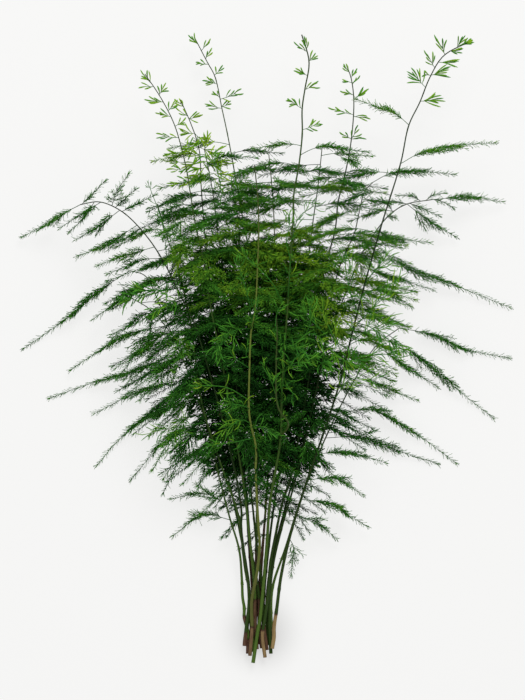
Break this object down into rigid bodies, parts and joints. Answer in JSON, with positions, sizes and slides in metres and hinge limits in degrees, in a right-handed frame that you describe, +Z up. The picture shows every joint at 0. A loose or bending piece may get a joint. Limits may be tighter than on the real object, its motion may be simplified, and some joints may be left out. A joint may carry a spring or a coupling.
{
  "type": "bunch of cut ming fern stems",
  "caption": "Loose bunch of cut ming fern (Asparagus setaceus) stems with feathery needle-leaved sprays, lying on its side, for floral and table styling.",
  "frame": {"origin": "bottom centre of the bounding box, on the surface the bunch lies on", "axes": "+Y from the cut ends to the stem tips, +X to the right as seen from above, +Z up"},
  "size_m": [0.5448, 0.7006, 0.1825],
  "materials": {
    "stem_green": "smooth satin green stem",
    "stem_dark": "smooth dark green stem",
    "stem_olive": "satin olive stem, browner and papery at the cut end",
    "foliage_dark": "fine needle foliage, dark green, satin",
    "foliage_young": "young needle foliage, yellow-green, satin"
  },
  "bodies": {
    "root": {"stem_left_arch": "stem_dark", "stem_left_shoot": "stem_green", "stem_front": "stem_olive", "stem_centre_shoot": "stem_green", "stem_right_shoot": "stem_dark", "stem_left_outer": "stem_green", "stem_left_inner": "stem_green", "stem_left_second": "stem_dark", "stem_left_third": "stem_dark", "stem_right_second": "stem_dark", "stem_right_third": "stem_dark", "stem_back_left": "stem_green", "stem_back_inner": "stem_dark", "stem_tall_shoot": "stem_green", "stem_back_centre": "stem_olive", "stem_back_right": "stem_dark", "stem_right_arch": "stem_dark", "stem_right_low": "stem_green", "spray_right_01": "foliage_dark", "spray_right_02": "foliage_dark", "spray_right_03": "foliage_dark", "spray_right_04": "foliage_dark", "spray_right_05": "foliage_dark", "spray_right_06": "foliage_dark", "spray_right_07": "foliage_dark", "spray_right_08": "foliage_dark", "spray_right_09": "foliage_dark", "spray_right_10": "foliage_dark", "spray_right_11": "foliage_dark", "spray_right_12": "foliage_dark", "spray_right_13": "foliage_dark", "spray_right_14": "foliage_dark", "spray_right_15": "foliage_dark", "spray_right_16": "foliage_dark", "spray_right_17": "foliage_dark", "spray_right_18": "foliage_dark", "spray_right_19": "foliage_dark", "spray_right_20": "foliage_dark", "spray_left_01": "foliage_dark", "spray_left_02": "foliage_dark", "spray_left_03": "foliage_dark", "spray_left_04": "foliage_dark", "spray_left_05": "foliage_dark", "spray_left_06": "foliage_dark", "spray_left_07": "foliage_dark", "spray_left_08": "foliage_dark", "spray_left_09": "foliage_dark", "spray_left_10": "foliage_dark", "spray_left_11": "foliage_dark", "spray_left_12": "foliage_dark", "spray_left_13": "foliage_dark", "spray_left_14": "foliage_dark", "spray_left_15": "foliage_dark", "spray_left_16": "foliage_dark", "spray_upper_01": "foliage_young", "spray_upper_02": "foliage_young", "spray_upper_03": "foliage_young", "spray_upper_04": "foliage_young", "spray_under_01": "foliage_dark", "spray_under_02": "foliage_dark"}
  },
  "joints": []
}
